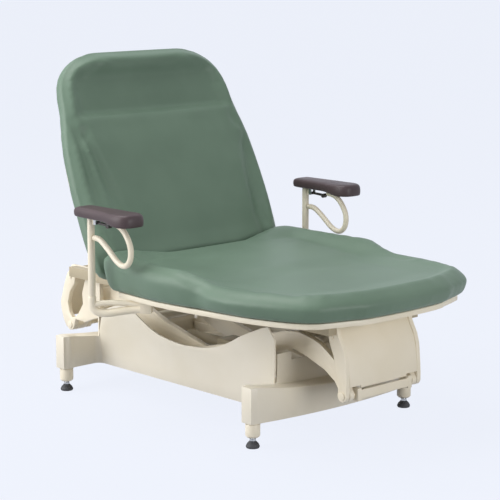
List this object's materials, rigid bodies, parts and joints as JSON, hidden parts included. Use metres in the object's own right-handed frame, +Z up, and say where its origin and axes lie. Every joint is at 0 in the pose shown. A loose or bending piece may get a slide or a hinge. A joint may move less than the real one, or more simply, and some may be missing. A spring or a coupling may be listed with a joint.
{
  "type": "examination table",
  "caption": "Low-access power examination table: moulded base on levelling feet, crossing lift arms, reclining back, green vinyl cushions and fold-away armrests",
  "frame": {"origin": "middle of the table's overall plan on the floor", "axes": "+Z up, +Y toward the head end, +X to the table's right seen from the foot end looking to the head end"},
  "size_m": [1.004, 1.4366, 1.0733],
  "materials": {
    "cover_white": "moulded, satin",
    "paint_beige": "powder coat, semi-gloss",
    "frame_grey": "powder coat, matt",
    "vinyl_green": "soft upholstery vinyl",
    "pad_dark": "moulded urethane",
    "rubber_dark": "matt",
    "plastic_dark": "matt",
    "steel": "zinc plated"
  },
  "bodies": {
    "base": {"base_frame": "frame_grey", "base_cover": "cover_white", "leg_posts": "paint_beige", "levelling_studs": "steel", "rubber_feet": "rubber_dark", "base_tracks": "frame_grey", "base_pivot_shaft": "steel", "lift_motor": "frame_grey", "lift_tube": "frame_grey", "control_box": "plastic_dark", "power_inlet": "plastic_dark"},
    "lift_slide": {"lift_rod": "steel"},
    "foot_arm": {"foot_lift_arm": "paint_beige"},
    "head_arm": {"head_lift_arm": "paint_beige", "arm_rollers": "plastic_dark"},
    "seat": {"foot_pins": "paint_beige", "head_pins": "paint_beige", "foot_casting_left": "paint_beige", "foot_casting_right": "paint_beige", "head_casting_left": "paint_beige", "head_casting_right": "paint_beige", "foot_crossbar": "paint_beige", "head_crossbar": "paint_beige", "foot_panel": "paint_beige", "head_panel": "paint_beige", "casting_bolts": "paint_beige", "seat_frame": "frame_grey", "seat_pan": "paint_beige", "seat_cushion": "vinyl_green", "back_hinge_pins": "steel", "back_actuator_tube": "frame_grey", "arm_bracket_left": "paint_beige", "arm_bracket_right": "paint_beige"},
    "back": {"back_frame": "frame_grey", "back_shell": "cover_white", "back_cushion": "vinyl_green"},
    "back_slide": {"back_actuator_rod": "steel"},
    "armrest_left": {"arm_post_left": "paint_beige", "arm_loop_left": "paint_beige", "arm_pad_left": "pad_dark", "lever_pin_left": "steel"},
    "lever_left": {"release_lever_left": "plastic_dark"},
    "armrest_right": {"arm_post_right": "paint_beige", "arm_loop_right": "paint_beige", "arm_pad_right": "pad_dark", "lever_pin_right": "steel"},
    "lever_right": {"release_lever_right": "plastic_dark"}
  },
  "joints": [
    {"name": "lift", "type": "hinge", "parent": "base", "child": "foot_arm", "pos_m": [0, 0.41717, 0.11], "axis": [-1, 0, 0], "range_deg": [0, 28.3]},
    {"name": "foot_arm_to_seat", "type": "hinge", "parent": "foot_arm", "child": "seat", "pos_m": [0, -0.59283, 0.158], "axis": [1, 0, 0], "range_deg": [0, 28.3]},
    {"name": "seat_to_head_arm", "type": "hinge", "parent": "seat", "child": "head_arm", "pos_m": [0, 0.66717, 0.158], "axis": [1, 0, 0], "range_deg": [0, 28.3]},
    {"name": "lift_rod_slide", "type": "slide", "parent": "base", "child": "lift_slide", "axis": [0, 1, 0], "range_m": [0, 0.02933]},
    {"name": "recline", "type": "hinge", "parent": "seat", "child": "back", "pos_m": [0, 0.29217, 0.384], "axis": [-1, 0, 0], "range_deg": [0, 66.5]},
    {"name": "back_rod_slide", "type": "slide", "parent": "seat", "child": "back_slide", "axis": [0, -1, 0], "range_m": [0, 0.07128]},
    {"name": "armrest_swing_left", "type": "hinge", "parent": "seat", "child": "armrest_left", "pos_m": [-0.45, 0.16617, 0.372], "axis": [0, 0, -1], "range_deg": [0, 170]},
    {"name": "release_left", "type": "hinge", "parent": "armrest_left", "child": "lever_left", "pos_m": [-0.45, 0.13497, 0.599], "axis": [-1, 0, 0], "range_deg": [0, 8], "stiffness_Nm_per_rad": 0.5, "springref_deg": -5.73},
    {"name": "armrest_swing_right", "type": "hinge", "parent": "seat", "child": "armrest_right", "pos_m": [0.45, 0.16617, 0.372], "axis": [0, 0, 1], "range_deg": [0, 170]},
    {"name": "release_right", "type": "hinge", "parent": "armrest_right", "child": "lever_right", "pos_m": [0.45, 0.13497, 0.599], "axis": [-1, 0, 0], "range_deg": [0, 8], "stiffness_Nm_per_rad": 0.5, "springref_deg": -5.73}
  ],
  "couplings": [
    {"joint": "foot_arm_to_seat", "follows": "lift", "ratio": 1},
    {"joint": "seat_to_head_arm", "follows": "lift", "ratio": 1},
    {"joint": "lift_rod_slide", "follows": "lift", "m_per_rad": 0.05939},
    {"joint": "back_rod_slide", "follows": "recline", "m_per_rad": 0.06141}
  ]
}
